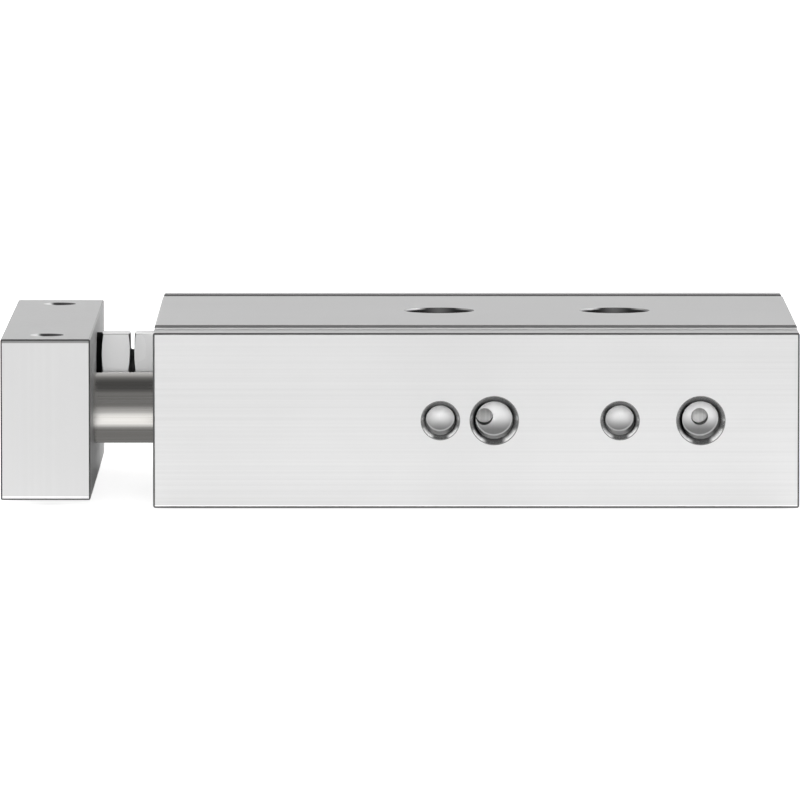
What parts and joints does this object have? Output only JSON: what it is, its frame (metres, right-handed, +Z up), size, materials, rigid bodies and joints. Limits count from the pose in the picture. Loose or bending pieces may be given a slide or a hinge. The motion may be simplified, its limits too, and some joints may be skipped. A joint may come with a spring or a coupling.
{
  "type": "double piston cylinder",
  "caption": "Flat twin-rod pneumatic cylinder: two parallel pistons in one aluminium barrel drive a shared yoke plate with an adjustable stop screw.",
  "frame": {"origin": "on the bottom mounting land of the barrel, midway between the two through holes", "axes": "+X runs along the bores from the yoke to the rear, +Y across the bores away from the ported side in the picture, +Z up out of the counterbored face"},
  "size_m": [0.089, 0.058, 0.02],
  "materials": {
    "barrel_aluminium": "clear anodised, finely brushed along its length",
    "yoke_aluminium": "clear anodised, fine vertical grain",
    "turned_aluminium": "turned, plain",
    "bearing_bronze": "sintered, matt",
    "ground_rod_steel": "hardened, ground and polished",
    "nut_steel": "zinc plated, satin",
    "zinc_steel": "zinc plated",
    "black_steel": "black oxide",
    "spring_steel": "phosphated spring steel",
    "magnet_ferrite": "pressed, matt",
    "seal_rubber": "moulded, matt",
    "washer_rubber": "moulded, matt black",
    "bumper_polymer": "moulded polyurethane",
    "pad_plastic": "hard plastic"
  },
  "bodies": {
    "barrel": {"cylinder_body": "barrel_aluminium", "port_plugs": "black_steel", "front_cover_near": "turned_aluminium", "front_cover_far": "turned_aluminium", "outer_bushing_near": "bearing_bronze", "outer_bushing_far": "bearing_bronze", "inner_bushing_near": "bearing_bronze", "inner_bushing_far": "bearing_bronze", "rod_seal_near": "seal_rubber", "rod_seal_far": "seal_rubber", "cover_o_ring_near": "seal_rubber", "cover_o_ring_far": "seal_rubber", "front_retaining_ring_near": "spring_steel", "front_retaining_ring_far": "spring_steel", "front_bumper_near": "bumper_polymer", "front_bumper_far": "bumper_polymer", "rear_bumper_near": "bumper_polymer", "rear_bumper_far": "bumper_polymer", "rear_cap_near": "turned_aluminium", "rear_cap_far": "turned_aluminium", "cap_o_ring_near": "seal_rubber", "cap_o_ring_far": "seal_rubber", "rear_retaining_ring_near": "spring_steel", "rear_retaining_ring_far": "spring_steel"},
    "carriage": {"yoke": "yoke_aluminium", "yoke_screws": "zinc_steel", "piston_nuts": "zinc_steel", "stop_washer": "washer_rubber", "piston_rod_near": "ground_rod_steel", "piston_rod_far": "ground_rod_steel", "piston_front_near": "turned_aluminium", "piston_front_far": "turned_aluminium", "piston_magnet_near": "magnet_ferrite", "piston_magnet_far": "magnet_ferrite", "piston_rear_near": "turned_aluminium", "piston_rear_far": "turned_aluminium", "front_piston_seal_near": "seal_rubber", "front_piston_seal_far": "seal_rubber", "rear_piston_seal_near": "seal_rubber", "rear_piston_seal_far": "seal_rubber"},
    "lock_nut": {"lock_nut": "nut_steel"},
    "stop_screw": {"stop_screw": "nut_steel", "stop_pad": "pad_plastic"}
  },
  "joints": [
    {"name": "stroke", "type": "slide", "parent": "barrel", "child": "carriage", "axis": [-1, 0, 0], "range_m": [0, 0.01]},
    {"name": "lock_nut_turn", "type": "hinge", "parent": "carriage", "child": "lock_nut", "pos_m": [-0.0468, 0, 0.0135], "axis": [1, 0, 0], "range_deg": [0, 240]},
    {"name": "stop_screw_turn", "type": "hinge", "parent": "carriage", "child": "stop_screw", "pos_m": [-0.0434, 0, 0.0135], "axis": [1, 0, 0], "range_deg": [0, 240]}
  ]
}
